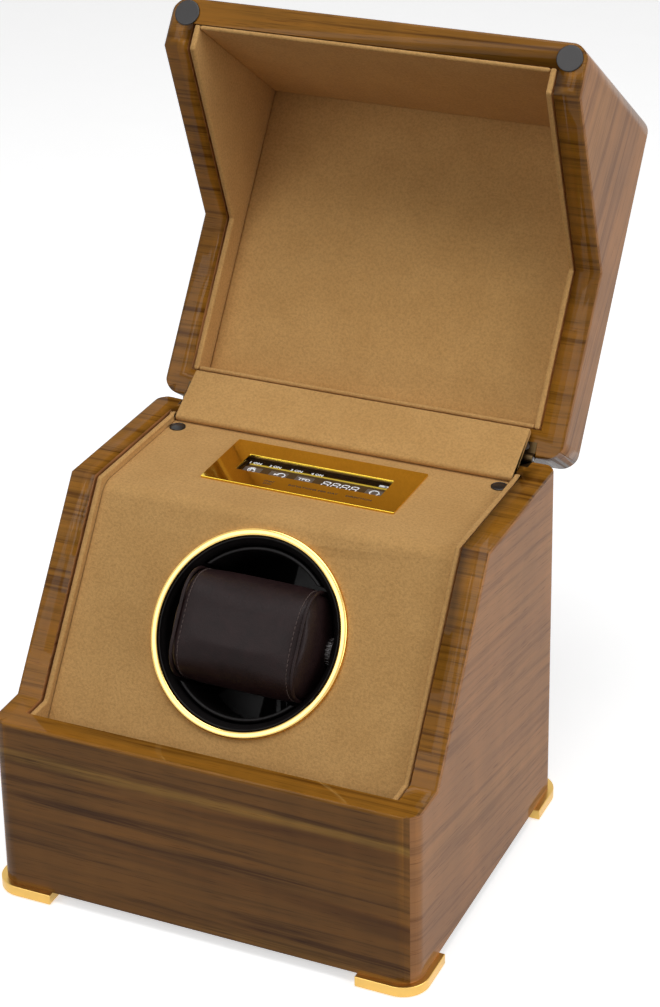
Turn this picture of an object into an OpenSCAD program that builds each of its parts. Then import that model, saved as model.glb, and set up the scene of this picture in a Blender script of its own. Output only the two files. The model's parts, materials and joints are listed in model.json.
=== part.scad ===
// Watch winder box: a lacquered walnut case with a sloping suede fascia, one winding drum
// under a gilt ring, a gilt control plate, and a deep lid that opens on two stop hinges.
// Millimetres. The origin is the centre of the case's footprint, on the surface it stands on;
// +X runs to the right of someone facing the drum, +Y to the back, +Z up.

/* [Case] */
// Width of the case over its sides
box_w = 190; // [176:1:240]
// Depth of the case from front face to back face
box_d = 161; // [152:1:210]
// Height of the top rim above the underside of the case
rim_h = 156.5; // [148:0.5:190]
// Height of the low front rim above the underside of the case
front_h = 78; // [70:0.5:90]
// Height that the shut lid adds above the top rim
lid_h = 26; // [24:0.5:70]
// Depth of the level stretch at the front of the side rims
ledge_d = 23.5; // [17:0.5:27]
// Distance from the front face to the knee where the side rims turn level again
knee_d = 78.5; // [72:0.5:83]
// Thickness of the side walls
side_t = 11.5; // [9:0.1:14]
// Thickness of the front wall
front_t = 11.5; // [9:0.5:14]
// Thickness of the back wall
back_t = 12; // [10:0.5:14]
// Thickness of the lid's top
top_t = 10.8; // [7:0.1:12]
// Thickness of the floor board
floor_t = 6; // [4:0.5:9]
// Radius of the upright corners
corner_r = 9; // [4:0.5:11]
// Rounding of the rims and of the lid's top edges
edge_r = 1.5; // [0.8:0.1:2.5]

/* [Lid] */
// Angle the lid stands open at on its stop hinges
open_a = 125; // [95:1:130]
// Gap between the two rims when the lid is shut
lid_gap = 1; // [0.6:0.1:2]
// Height of the hinge axis above the top rim
pivot_up = 0.5; // [0.2:0.1:1]
// Distance of the hinge axis behind the back face
pivot_back = 0.7; // [0.3:0.1:1.2]
// Radius of the hinge knuckles
knuckle_r = 2.2; // [1.8:0.1:2.6]
// Radius of the hinge pins
pin_r = 1; // [0.7:0.1:1.2]
// Length of each hinge
hinge_l = 26; // [20:1:34]
// Distance of each hinge's middle from the case's side
hinge_in = 25; // [24:1:40]
// Thickness of the hinge leaves
leaf_t = 1; // [0.7:0.1:1.5]
// Radius of the bumpers on the lid's front rim
bumper_r = 5.7; // [3:0.1:6]

/* [Linings] */
// Gap between the side walls and the boards beside them
lining_gap = 1; // [0.3:0.1:1.5]
// Thickness of the suede-covered boards in the base
lining_t = 2.4; // [1.5:0.1:3]
// Thickness of the suede-covered boards at the lid's top and sides
lid_lining_t = 2.6; // [1.8:0.1:3.4]
// Thickness of the suede-covered boards at the lid's front and back
lid_end_t = 2; // [1.5:0.1:3]
// Depth of the fascia's surface below the rims
recess = 3.8; // [3:0.1:6]
// Thickness of the fascia board
fascia_t = 5; // [4:0.5:6]
// Radius of the fascia's bend
bend_r = 9; // [6:0.5:14]
// Length of the flap that covers the hinge side, from its axis
flap_l = 24.6; // [20:0.1:26]
// Thickness of the flap
flap_t = 3.4; // [2.6:0.1:3.8]
// Slope of the flap when the lid is open
flap_a = 31; // [30:0.5:36]

/* [Drum] */
// Distance of the drum's axis up the slope from its foot at the rim
drum_up = 44.6; // [44:0.1:46]
// Outer radius of the gilt ring
ring_r = 43.3; // [41.5:0.1:44]
// Radial width of the gilt ring
ring_w = 3.2; // [2:0.1:3.4]
// Outer radius of the turning drum
drum_r = 36; // [34:0.1:37]
// Wall thickness of the drum
drum_t = 1.6; // [1.2:0.1:2.4]
// Depth of the drum from its rim to the outside of its floor
drum_l = 36; // [34:0.5:40]
// Depth of the drum's rim below the front of the gilt ring
drum_in = 3; // [2.5:0.1:5]
// Running gap between the drum and its housing
drum_gap = 1; // [0.6:0.1:1.6]
// Wall thickness of the housing
housing_t = 2; // [1.6:0.1:3]
// Radius of the drum's shaft
shaft_r = 3; // [2:0.1:4]
// Module of the gears
gear_m = 1.2; // [1:0.1:1.4]
// Teeth on the drum's gear
gear_n = 48; // [42:1:50]
// Teeth on the motor's pinion
pinion_n = 12; // [11:1:14]
// Face width of the drum's gear
gear_w = 5; // [4:0.5:7]
// Radius of the motor's can
motor_r = 12; // [9:0.5:14]
// Length of the motor's can
motor_l = 27; // [18:1:32]

/* [Cushion] */
// Length of the cushion's cuff
cuff_l = 54.5; // [46:0.5:56]
// Height of the cushion across the drum
cushion_h = 45.5; // [40:0.5:47]
// Depth of the cushion from front to back
cushion_d = 44; // [34:0.5:46]
// Rounding of the cushion's long edges
cushion_r = 14; // [10:0.5:17]
// Bulge of each end cap
cap_bulge = 5.5; // [3:0.5:6]
// Thickness of the leather cuff
cuff_t = 2; // [1.4:0.1:3]

/* [Controls] */
// Width of the gilt control plate
plate_w = 89; // [80:1:100]
// Depth of the gilt control plate, front to back
plate_d = 38.1; // [34:0.1:40]
// Distance from the plate's back edge to the flap's axis
plate_gap = 8.6; // [5:0.1:12]
// Height of the plate above the fascia
plate_up = 1; // [0.6:0.1:1.5]
// Width of the display window
window_w = 67.2; // [60:0.1:72]
// Depth of the display window, front to back
window_d = 14.7; // [12:0.1:18]
// Radius of the two plug caps on the fascia
plug_r = 3.6; // [3:0.1:3.7]

/* [Feet] */
// Length of each foot's legs
foot_l = 28; // [24:1:36]
// Width of each foot's legs
foot_w = 16; // [13:1:20]
// Thickness of the gilt feet
foot_t = 4.6; // [3:0.1:6]
// Distance the feet stand out from the case
foot_out = 2.6; // [1:0.1:4]
// Thickness of the pads under the feet
pad_t = 0.6; // [0.4:0.1:2]

/* [Hidden] */
$fn = 96;
eps = 0.01;
seat_gap = 0.05; // radial clearance of screws and running pins
soft_gap = 0.3; // clearance round covered boards
foot_h = foot_t + pad_t;
closed_h = rim_h + lid_h; // top of the shut lid above the underside of the case
slope_a = atan2(rim_h - front_h, knee_d - ledge_d);
// Shift along Y of a knee when the rim profile is offset by 1
knee_shift = tan(slope_a / 2);
fascia_z = rim_h - recess;
pivot_y = box_d + pivot_back;
pivot_z = rim_h + pivot_up;
inner_w = box_w - 2 * side_t;
lined_w = inner_w - 2 * (lining_t + lining_gap);
fascia_w = lined_w - 2 * soft_gap;
lid_inner_w = inner_w - 2 * (lid_lining_t + lining_gap + seat_gap);
back_y = box_d - back_t; // inner face of the back wall
drum_y = ledge_d + drum_up * cos(slope_a) + recess * sin(slope_a);
drum_z = front_h + drum_up * sin(slope_a) - recess * cos(slope_a);

// Places along the drum's axis, measured outwards from the fascia's surface
ring_top = 2;
rim_z = ring_top - drum_in;
drum_floor = rim_z - drum_l; // outside of the drum's floor
drum_floor_t = 3;
house_in = drum_floor - 2; // inside of the housing's floor
house_floor_t = 3;
house_back = house_in - house_floor_t;
gear_front = house_back - 2.5;
gear_back = gear_front - gear_w;
bracket_front = gear_back - 3;
bracket_t = 2;
bracket_back = bracket_front - bracket_t;
throat_r = ring_r - ring_w - 0.1; // outside of the housing's neck
bore_r = drum_r + drum_gap;
house_r = bore_r + housing_t;
flange_r = ring_r + 1.3;
flange_t = 2.5;
gear_c = gear_m * (gear_n + pinion_n) / 2; // distance between the two axes
bush_r = 6;
bush_flange_r = 8.5;
hub_r = 8;
hub_l = 2;
hub_top = drum_floor + drum_floor_t + hub_l;
post_r = 2.5;
post_c = house_r - post_r - 0.5;
// The posts stand clear of the pinion, which lies below the drum's axis
post_angles = [30, 150, 270 - 52, 270 + 52];
motor_shaft_r = 1;
cushion_back = hub_top + soft_gap;
cushion_mid = cushion_back + cushion_d / 2;
notch_h = cushion_h + 4;
notch_back = drum_floor + drum_floor_t + 4;

// Flap and its axis
flap_y = back_y - flap_t / 2 - 0.6;
flap_z = fascia_z + flap_t / 2 + 0.2;
flap_w = min(lined_w, lid_inner_w) - 2 * soft_gap;
flap_pin_r = 0.6;
lining_low = (rim_h - flap_z - flap_pin_r) / 2; // depth of the base linings' edges below the rims
// The back wall is rebated so that the open flap passes over it
rebate_y = flap_y + (rim_h + 0.4 - flap_z + flap_t / 2 / cos(flap_a)) / tan(flap_a);
rebate_z = fascia_z - 1;
leaf_y = rebate_y + 0.6;

// Display
plate_y = flap_y - plate_gap - plate_d / 2; // middle of the plate
window_depth = 2.6;
glass_t = 1;
module_t = 6;
board_t = 1.6;
board_w = 96;
board_d = 42;
module_w = window_w + 4;
module_d = window_d + 4;
glass_z = fascia_z + plate_up - window_depth; // top of the display glass
module_z = glass_z - glass_t; // top of the display module
board_z = module_z - module_t; // top of the circuit board

// Battery bay and mains inlet
bay_w = 62;
bay_d = 56;
bay_h = 20;
bay_y = 58;
bay_wall = 1.6;
bay_lip = 5;
cell_pitch = (bay_w - bay_wall) / 4;
cover_t = 2.5;
inlet_r = 5.5;
inlet_flange_r = 7.5;
inlet_z = 32;
inlet_hole_r = 3.2;
inlet_depth = 9;

// Screws
screw_r = 1.5;
screw_head_r = 2.8;
screw_head_l = 1.6;
small_r = 0.9;
small_head_r = 1.7;
small_head_l = 0.8;

// Battens, plugs, mouth and small parts
press_gap = 0.02; // clearance of parts that are pressed or glued together
batten_w = 7;
batten_t = 7;
plug_x = fascia_w / 2 - plug_r - 0.4;
plug_y = flap_y - flap_t / 2 - plug_r - 1.4;
plug_dome = 0.9;
plug_ball = (plug_r * plug_r + pow(plug_dome - 0.3, 2)) / (2 * (plug_dome - 0.3));
plug_stem_r = 1.5;
plug_stem_l = 3.5;
mouth_z = ring_top * 0.5;
notch_r = 6;
post_screw_in = 2.4;
housing_screw_l = flange_t + fascia_t - 1.5;
gear_play = 0.2; // backlash of each gear, along its pitch circle
motor_boss_r = 4;
motor_hole_c = motor_r - 3.5;
motor_screw_l = 5;
motor_shaft_l = 8;
gearbox_l = 11;
gear_addendum = 0.75;
pinion_addendum = 1.15;
gear_hole_c = (gear_m * gear_n / 2 + shaft_r) / 2;
gear_hole_r = gear_hole_c / 3;
cap_ball = 60; // radius of the ball that domes the end caps
cover_screw_l = floor_t - 0.5;
foot_screw_l = 14;
foot_hole_in = foot_l - foot_out - 6;
pad_in = 7;
pad_r = 5;
inlet_flange_t = 1.2;
inlet_tip_r = 1;
leaf_screw_l = 8;
hinge_x = box_w / 2 - hinge_in;
knuckle_l = hinge_l / 3;
lid_under = closed_h - top_t - soft_gap - lid_lining_t; // face of the lid's top lining
bumper_t = 0.8;
bumper_x = 7.8;
bumper_y = 7.2;
flap_edge = 0.8;

walnut = [0.42, 0.27, 0.15];
suede = [0.66, 0.51, 0.35];
gilt = [0.86, 0.68, 0.30];
gloss_black = [0.03, 0.03, 0.035];
leather = [0.10, 0.07, 0.06];
steel = [0.70, 0.71, 0.73];
bronze = [0.65, 0.47, 0.25];
nylon = [0.88, 0.87, 0.82];
board_green = [0.10, 0.35, 0.20];
rubber = [0.06, 0.06, 0.06];

// ---- Places ----

// From the case's own frame, front face at y = 0 and underside at z = 0
module in_box() translate([0, -box_d / 2, foot_h]) children();

// The drum's frame: fascia surface at z = 0, axis along +Z out of the slope
module on_slope() in_box() translate([0, drum_y, drum_z]) rotate([slope_a, 0, 0]) children();

// The motor's axis in the drum's frame
module on_motor() translate([0, -gear_c, 0]) children();

// The lid as it stands open, from its shut place
module opened() in_box() translate([0, pivot_y, pivot_z]) rotate([-open_a, 0, 0])
    translate([0, -pivot_y, -pivot_z]) children();

module both_sides() { children(); mirror([1, 0, 0]) children(); }

// ---- Shapes ----

// A side view in (y, z), w wide along X
module across(w) rotate([90, 0, 90]) linear_extrude(w, center = true) children();

// A front view in (x, z), d deep from y = 0
module along(d) translate([0, d, 0]) rotate([90, 0, 0]) linear_extrude(d) children();

// A w by h rectangle from x = 0 and y = 0 with rounded corners
module rounded(w, h, r) {
    translate([r, 0]) square([w - 2 * r, h]);
    translate([0, r]) square([w, h - 2 * r]);
    for (x = [r, w - r], y = [r, h - r]) translate([x, y]) circle(r);
}

// The case's outline in plan, from z0 to z1
module plan(z0, z1) translate([-box_w / 2, 0, z0]) linear_extrude(z1 - z0)
    rounded(box_w, box_d, corner_r);

// The rim's path in side view, moved outwards by off, from y0 to y1
function rim_path(off, y0, y1) = [
    [y0, front_h + off], [ledge_d - off * knee_shift, front_h + off],
    [knee_d - off * knee_shift, rim_h + off], [y1, rim_h + off]
];

// A bar as wide as the case with rounded long edges, from z0 to z1, along all of its depth
module level_bar(z0, z1) along(box_d) translate([-box_w / 2, z0]) rounded(box_w, z1 - z0, edge_r);

// Such a bar along the slope of the rims, moved outwards by off, from z0 to z1 in the slope's frame
module sloping_bar(off, z0, z1) translate([0, ledge_d - off * knee_shift, front_h + off])
    rotate([slope_a, 0, 0]) translate([0, -rim_h, z0]) along(3 * rim_h)
        translate([-box_w / 2, 0]) rounded(box_w, z1 - z0, edge_r);

// Side view of what lies between the lid's rims and height z1
module over_rim(off, y0, y1, z1) polygon(concat([[y1, z1], [y0, z1]], rim_path(off, y0, y1)));

// A countersunk screw pointing along -Z with its head flush at z = 0
module screw(r, head_r, head_l, l) {
    translate([0, 0, -head_l]) cylinder(h = head_l, r1 = r, r2 = head_r);
    translate([0, 0, -l]) cylinder(h = l - head_l + eps, r = r);
}

// The hole that such a screw sits in
module screw_hole(r, head_r, head_l, l) {
    translate([0, 0, -head_l]) cylinder(h = head_l + eps, r1 = r + seat_gap, r2 = head_r + seat_gap);
    translate([0, 0, -l - 0.2]) cylinder(h = l + 0.2, r = r + seat_gap);
}

// An involute gear's outline: each flank is the involute of its base circle
function involute(rb, t) = [rb * (cos(t) + t * PI / 180 * sin(t)), rb * (sin(t) - t * PI / 180 * cos(t))];
function turned(p, a) = [p[0] * cos(a) - p[1] * sin(a), p[0] * sin(a) + p[1] * cos(a)];
function flank_t(rb, r) = sqrt(max(0, pow(r / rb, 2) - 1)) * 180 / PI;
function gear_points(m, n, addendum) =
    let (
        pressure = 20,
        rp = m * n / 2,
        rb = rp * cos(pressure),
        ra = rp + addendum * m,
        rf = rp - 1.25 * m,
        roll = tan(pressure) * 180 / PI - pressure,
        half = 90 / n + roll - gear_play / rp * 180 / PI / 2,
        t0 = flank_t(rb, max(rb, rf)),
        t1 = flank_t(rb, ra),
        steps = 3
    ) [
        for (i = [0 : n - 1]) let (a = i * 360 / n) each concat(
            [turned([rf, 0], a - half - 1.2)],
            [for (k = [0 : steps]) turned(involute(rb, t0 + (t1 - t0) * k / steps), a - half)],
            [for (k = [steps : -1 : 0]) let (p = involute(rb, t0 + (t1 - t0) * k / steps))
                turned([p[0], -p[1]], a + half)],
            [turned([rf, 0], a + half + 1.2)]
        )
    ];

// ---- Wooden case ----

module base_case() color(walnut) in_box() difference() {
    intersection() {
        plan(0, rim_h);
        union() {
            level_bar(-edge_r, front_h);
            intersection() {
                sloping_bar(0, -2 * rim_h, 0);
                level_bar(-edge_r, rim_h);
            }
        }
        across(box_w) {
            translate([0, -edge_r]) rounded(box_d, front_h + edge_r, edge_r);
            translate([ledge_d / 2, -edge_r]) rounded(box_d - ledge_d / 2, rim_h + edge_r, edge_r);
        }
    }
    translate([-inner_w / 2, front_t, -eps]) cube([inner_w, back_y - front_t, rim_h + 1]);
    // Rebate for the open flap
    translate([-lined_w / 2, back_y - eps, rebate_z])
        cube([lined_w, rebate_y - back_y, rim_h - rebate_z + 1]);
    hinge_beds(rim_h - leaf_t, rim_h + 1);
    at_leaf_screws(rim_h) screw_hole(small_r, small_head_r, small_head_l, leaf_screw_l);
    at_foot_screws() translate([0, 0, -eps]) cylinder(h = foot_screw_l, r = screw_r + seat_gap);
    translate([0, box_d + 1, inlet_z]) rotate([90, 0, 0])
        cylinder(h = back_t + 2, r = inlet_r + seat_gap);
}

// Floor board, let in between the walls, with the battery bay's opening
module floor_board() color(walnut) in_box() difference() {
    translate([-inner_w / 2, front_t, 0]) cube([inner_w, back_y - front_t, floor_t]);
    bay_block(0, -eps, floor_t + 1);
    bay_block(bay_lip, -eps, cover_t);
    at_cover_screws() translate([0, 0, -eps]) cylinder(h = cover_screw_l + 0.2, r = small_r + seat_gap);
}

// A block over the battery bay, grown sideways by grow, from z0 to z1
module bay_block(grow, z0, z1) translate([-bay_w / 2 - grow, bay_y - bay_d / 2 - grow, z0])
    cube([bay_w + 2 * grow, bay_d + 2 * grow, z1 - z0]);

// Battens glued to the side walls under the fascia
module fascia_battens() color(walnut) in_box() both_sides()
    translate([inner_w / 2 - batten_w / 2, 0, 0]) across(batten_w)
        board_section(fascia_t, fascia_t + batten_t, front_t, back_y);

// ---- Linings and fascia ----

// Height of the slope's plane at y, moved outwards by off
function slope_z(y, off) = front_h + off + (y - ledge_d + off * knee_shift) * tan(slope_a);

// The rounded knee at a depth under the fascia's surface
function bend(depth) =
    let (
        r = max(bend_r - depth, 0.5),
        off = -recess - depth,
        cy = knee_d - off * knee_shift + r * knee_shift,
        cz = rim_h + off - r,
        steps = 8
    ) [for (i = [0 : steps]) let (t = 90 + slope_a * (1 - i / steps)) [cy + r * cos(t), cz + r * sin(t)]];

// Lower line of a board that follows slope and top at a depth, from back to front
function board_line(depth, y0, y1) = concat(
    [[y0, slope_z(y0, -recess - depth)]], bend(depth), [[y1, fascia_z - depth]]
);
function backwards(points) = [for (i = [len(points) - 1 : -1 : 0]) points[i]];

// Side view of the bent board between two depths under the fascia's surface
module board_section(depth0, depth1, y0, y1)
    polygon(concat(board_line(depth0, y0, y1), backwards(board_line(depth1, y0, y1))));

module fascia() color(suede) difference() {
    in_box() difference() {
        across(fascia_w) board_section(0, fascia_t, front_t + soft_gap, back_y - soft_gap);
        translate([-module_w / 2 - soft_gap, plate_y - module_d / 2 - soft_gap, fascia_z - fascia_t - 1])
            cube([module_w + 2 * soft_gap, module_d + 2 * soft_gap, fascia_t + 2]);
        at_plugs() cylinder(h = 2 * plug_stem_l, r = plug_stem_r + seat_gap, center = true);
    }
    on_slope() translate([0, 0, -fascia_t - 1]) cylinder(h = fascia_t + 2, r = throat_r + soft_gap);
    on_slope() at_housing_screws()
        cylinder(h = 2 * (housing_screw_l + 0.2), r = small_r + seat_gap, center = true);
}

module at_plugs() both_sides() translate([plug_x, plug_y, fascia_z]) children();

// Domed plug caps in the fascia's back corners
module fascia_plugs() color(rubber) in_box() at_plugs() {
    intersection() {
        translate([0, 0, plug_dome - plug_ball]) sphere(plug_ball);
        cylinder(h = 2, r = plug_r);
    }
    translate([0, 0, -plug_stem_l]) cylinder(h = plug_stem_l + eps, r = plug_stem_r);
}

// Side lining of the base: it stands on the batten beside the fascia
module base_lining(side) color(suede) in_box() difference() {
    translate([side * (lined_w + lining_t) / 2, 0, 0]) across(lining_t) polygon(concat(
        rim_path(-lining_low, front_t + soft_gap, back_y - soft_gap),
        backwards(board_line(fascia_t, front_t + soft_gap, back_y - soft_gap))
    ));
    flap_axis() rotate([0, 90, 0]) cylinder(h = box_w, r = flap_pin_r + press_gap, center = true);
}
module base_lining_left() base_lining(-1);
module base_lining_right() base_lining(1);

// ---- Drum and its housing, in the drum's frame ----

// Gilt ring round the drum's mouth, bevelled to the inside
module drum_ring() color(gilt) on_slope() rotate_extrude() polygon([
    [ring_r - ring_w, 0], [ring_r, 0], [ring_r, ring_top * 0.55], [ring_r - 0.5, ring_top * 0.9],
    [ring_r - ring_w * 0.45, ring_top], [ring_r - ring_w * 0.8, ring_top * 0.8],
    [ring_r - ring_w, ring_top * 0.4]
]);

// Fixed housing: a funnel mouth, a flange under the fascia and a cup for the drum
module drum_housing() color(gloss_black) on_slope() difference() {
    rotate_extrude() union() {
        polygon([
            [bush_r + press_gap, house_back], [house_r, house_back], [house_r, -fascia_t - flange_t],
            [flange_r, -fascia_t - flange_t], [flange_r, -fascia_t], [throat_r, -fascia_t],
            [throat_r, mouth_z], [throat_r - 0.5, mouth_z + 0.3], [throat_r - 1, mouth_z],
            [(throat_r + bore_r) / 2, rim_z + 0.3], [bore_r, rim_z],
            [bore_r, house_in], [bush_r + press_gap, house_in]
        ]);
    }
    at_housing_screws() cylinder(h = 4 * flange_t, r = small_r + seat_gap, center = true);
    at_posts() translate([0, 0, house_back - eps])
        cylinder(h = post_screw_in + 0.2, r = small_r + seat_gap);
}

module at_housing_screws() for (a = [45 : 90 : 315]) rotate(a)
    translate([house_r + 3.2, 0, -fascia_t - flange_t]) children();

// Screws through the flange into the fascia, from inside the case
module housing_screws() color(steel) on_slope() at_housing_screws() {
    translate([0, 0, -1.4]) cylinder(h = 1.4, r = small_head_r);
    cylinder(h = housing_screw_l, r = small_r);
}

// Flanged bush in the housing's floor
module drum_bush() color(bronze) on_slope() rotate_extrude() polygon([
    [shaft_r + seat_gap, gear_front + 0.3], [bush_flange_r, gear_front + 0.3], [bush_flange_r, house_back],
    [bush_r, house_back], [bush_r, drum_floor - 0.4], [shaft_r + seat_gap, drum_floor - 0.4]
]);

// Turning drum: its wall is notched at both sides for the cushion's ends
module drum_cup() color(gloss_black) on_slope() difference() {
    rotate_extrude() union() {
        translate([drum_r - drum_t, drum_floor]) square([drum_t, rim_z - drum_t / 2 - drum_floor]);
        translate([drum_r - drum_t / 2, rim_z - drum_t / 2]) circle(drum_t / 2);
        translate([shaft_r + press_gap, drum_floor]) square([drum_r - shaft_r - press_gap, drum_floor_t]);
        translate([shaft_r + press_gap, drum_floor]) square([hub_r - shaft_r, drum_floor_t + hub_l]);
    }
    translate([-drum_r - 1, 0, 0]) across_from_left(2 * drum_r + 2)
        translate([-notch_h / 2, notch_back]) rounded(notch_h, drum_l * 2, notch_r);
}

// A side view in (y, z), extruded along +X from x = 0
module across_from_left(w) rotate([90, 0, 90]) linear_extrude(w) children();

module drum_shaft() color(steel) on_slope() translate([0, 0, bracket_back - 1])
    cylinder(h = hub_top - bracket_back + 1, r = shaft_r);

// Drum's gear, lightened by round holes
module drum_gear() color(nylon) on_slope() difference() {
    translate([0, 0, gear_back]) linear_extrude(gear_w) rotate(180 / gear_n - 90)
        polygon(gear_points(gear_m, gear_n, gear_addendum));
    translate([0, 0, gear_back - 1]) cylinder(h = gear_w + 2, r = shaft_r + press_gap);
    for (a = [0 : 60 : 300]) rotate(a) translate([gear_hole_c, 0, gear_back - 1])
        cylinder(h = gear_w + 2, r = gear_hole_r);
}

// Motor's pinion with the shaft that it is moulded on
module motor_pinion() color(steel) on_slope() on_motor() {
    translate([0, 0, gear_back]) linear_extrude(gear_w) rotate(90)
        polygon(gear_points(gear_m, pinion_n, pinion_addendum));
    translate([0, 0, bracket_back - motor_shaft_l])
        cylinder(h = motor_shaft_l + gear_front - bracket_back, r = motor_shaft_r);
}

module at_posts() for (a = post_angles) rotate(a) translate([post_c, 0, 0]) children();

// Plate on four posts that carries the motor behind the gears
module gear_bracket() color(steel) on_slope() difference() {
    union() {
        translate([0, 0, bracket_back]) linear_extrude(bracket_t) {
            circle(house_r);
            translate([0, -gear_c]) circle(motor_r + 2);
            translate([-motor_r - 2, -gear_c]) square([2 * motor_r + 4, gear_c]);
        }
        at_posts() translate([0, 0, bracket_back]) cylinder(h = house_back - bracket_back, r = post_r);
    }
    cylinder(h = 4 * drum_l, r = shaft_r + seat_gap, center = true);
    on_motor() translate([0, 0, bracket_back - 1]) cylinder(h = bracket_t + 2, r = motor_boss_r + seat_gap);
    at_posts() translate([0, 0, bracket_back - 1])
        cylinder(h = house_back - bracket_back + 2, r = small_r + seat_gap);
    at_motor_screws() screw_hole(small_r, small_head_r, small_head_l, motor_screw_l);
}

module at_motor_screws() on_motor() for (x = [-motor_hole_c, motor_hole_c])
    translate([x, 0, bracket_front]) children();

// Four long screws through the posts into the housing, and two that hold the motor
module bracket_screws() color(steel) on_slope() {
    at_posts() {
        translate([0, 0, bracket_back - 1.4]) cylinder(h = 1.4, r = small_head_r);
        translate([0, 0, bracket_back - eps])
            cylinder(h = house_back - bracket_back + post_screw_in, r = small_r);
    }
    at_motor_screws() screw(small_r, small_head_r, small_head_l, motor_screw_l);
}

// Geared motor: gearbox in front, can behind, a boss that centres it in the bracket
module motor() color(steel) on_slope() on_motor() difference() {
    union() {
        translate([0, 0, bracket_back - gearbox_l]) cylinder(h = gearbox_l, r = motor_r);
        translate([0, 0, bracket_back - motor_l]) cylinder(h = motor_l - gearbox_l + eps, r = motor_r - 0.8);
        translate([0, 0, bracket_back - motor_l - 1.5]) cylinder(h = 2, r = motor_boss_r);
        translate([0, 0, bracket_back - eps]) cylinder(h = bracket_t - 0.4, r = motor_boss_r);
        for (x = [-6, 6]) translate([x - 0.4, -1.5, bracket_back - motor_l - 5]) cube([0.8, 3, 6]);
    }
    translate([0, 0, bracket_back - motor_shaft_l - 0.3])
        cylinder(h = motor_shaft_l + bracket_t + 1, r = motor_shaft_r + seat_gap);
    for (x = [-motor_hole_c, motor_hole_c]) translate([x, 0, bracket_front - motor_screw_l - 0.3])
        cylinder(h = motor_screw_l, r = small_r + seat_gap);
}

// ---- Watch cushion ----

module cushion_section(inset) translate([-cushion_h / 2 + inset, cushion_back + inset])
    rounded(cushion_h - 2 * inset, cushion_d - 2 * inset, cushion_r - inset);

module cushion_core() color(leather) on_slope() across(cuff_l) cushion_section(cuff_t + seat_gap);

module cushion_cuff() color(leather) on_slope() across(cuff_l) difference() {
    cushion_section(0);
    cushion_section(cuff_t);
}

// Domed end cap: the cuff's outline cut by a large ball
module cushion_cap(side) color(leather) on_slope() intersection() {
    translate([side * (cuff_l + cap_bulge) / 2, 0, 0]) across(cap_bulge) cushion_section(0);
    translate([side * (cuff_l / 2 + cap_bulge - cap_ball), 0, cushion_mid]) sphere(cap_ball, $fn = 240);
}
module cushion_cap_left() cushion_cap(-1);
module cushion_cap_right() cushion_cap(1);

// ---- Controls ----

module control_plate() color(gilt) in_box() translate([0, plate_y, fascia_z]) linear_extrude(plate_up)
    difference() {
        translate([-plate_w / 2, -plate_d / 2]) rounded(plate_w, plate_d, 0.6);
        translate([-window_w / 2, -window_d / 2]) rounded(window_w, window_d, 0.5);
    }

// A block centred on the display, w by d, from z0 to z1
module display_block(w, d, z0, z1) in_box() translate([-w / 2, plate_y - d / 2, z0]) cube([w, d, z1 - z0]);

module display_glass() color(gloss_black) display_block(module_w, module_d, module_z, glass_z);

module display_module() color(gloss_black) display_block(module_w, module_d, board_z, module_z);

module circuit_board() color(board_green) difference() {
    display_block(board_w, board_d, board_z - board_t, board_z);
    at_board_posts() cylinder(h = 4 * board_t, r = small_r + seat_gap, center = true);
}

module at_board_posts() in_box() for (x = [-1, 1], y = [-1, 1])
    translate([x * (board_w / 2 - 4), plate_y + y * (board_d / 2 - 4), board_z]) children();

// Posts under the fascia with the screws that hold the board
module board_posts() color(nylon) at_board_posts() {
    cylinder(h = fascia_z - fascia_t - board_z, r = 2.2);
    translate([0, 0, -board_t - 1]) cylinder(h = 1, r = small_head_r);
    translate([0, 0, -board_t - eps]) cylinder(h = board_t + 2 * eps, r = small_r);
}

// ---- Battery bay and inlet ----

// Tray with a trough for each of four cells, open below, with a lip on top of the floor board
module battery_box() color(rubber) in_box() difference() {
    union() {
        bay_block(-seat_gap, cover_t + 0.2, bay_h);
        bay_block(bay_lip - 1, floor_t, floor_t + bay_wall);
    }
    for (i = [0 : 3]) translate([-bay_w / 2 + bay_wall + i * cell_pitch, bay_y - bay_d / 2 + bay_wall, -1])
        cube([cell_pitch - bay_wall, bay_d - 2 * bay_wall, bay_h - bay_wall + 1]);
}

module battery_cover() color(rubber) in_box() difference() {
    bay_block(bay_lip - 0.2, 0, cover_t);
    at_cover_screws() mirror([0, 0, 1]) screw_hole(small_r, small_head_r, small_head_l, cover_screw_l);
}

module at_cover_screws() for (x = [-1, 1]) translate([x * (bay_w / 2 + bay_lip / 2), bay_y, 0]) children();

module cover_screws() color(steel) in_box() at_cover_screws() mirror([0, 0, 1])
    screw(small_r, small_head_r, small_head_l, cover_screw_l);

// Low-voltage inlet in the back wall
module power_inlet() color(rubber) in_box() translate([0, box_d, inlet_z]) rotate([-90, 0, 0]) {
    difference() {
        union() {
            translate([0, 0, -back_t - 2]) cylinder(h = back_t + 2, r = inlet_r);
            cylinder(h = inlet_flange_t, r = inlet_flange_r);
        }
        translate([0, 0, inlet_flange_t - inlet_depth]) cylinder(h = inlet_depth + 1, r = inlet_hole_r);
    }
    translate([0, 0, inlet_flange_t - inlet_depth - eps]) cylinder(h = inlet_depth - 1, r = inlet_tip_r);
}

// ---- Feet ----

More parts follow.
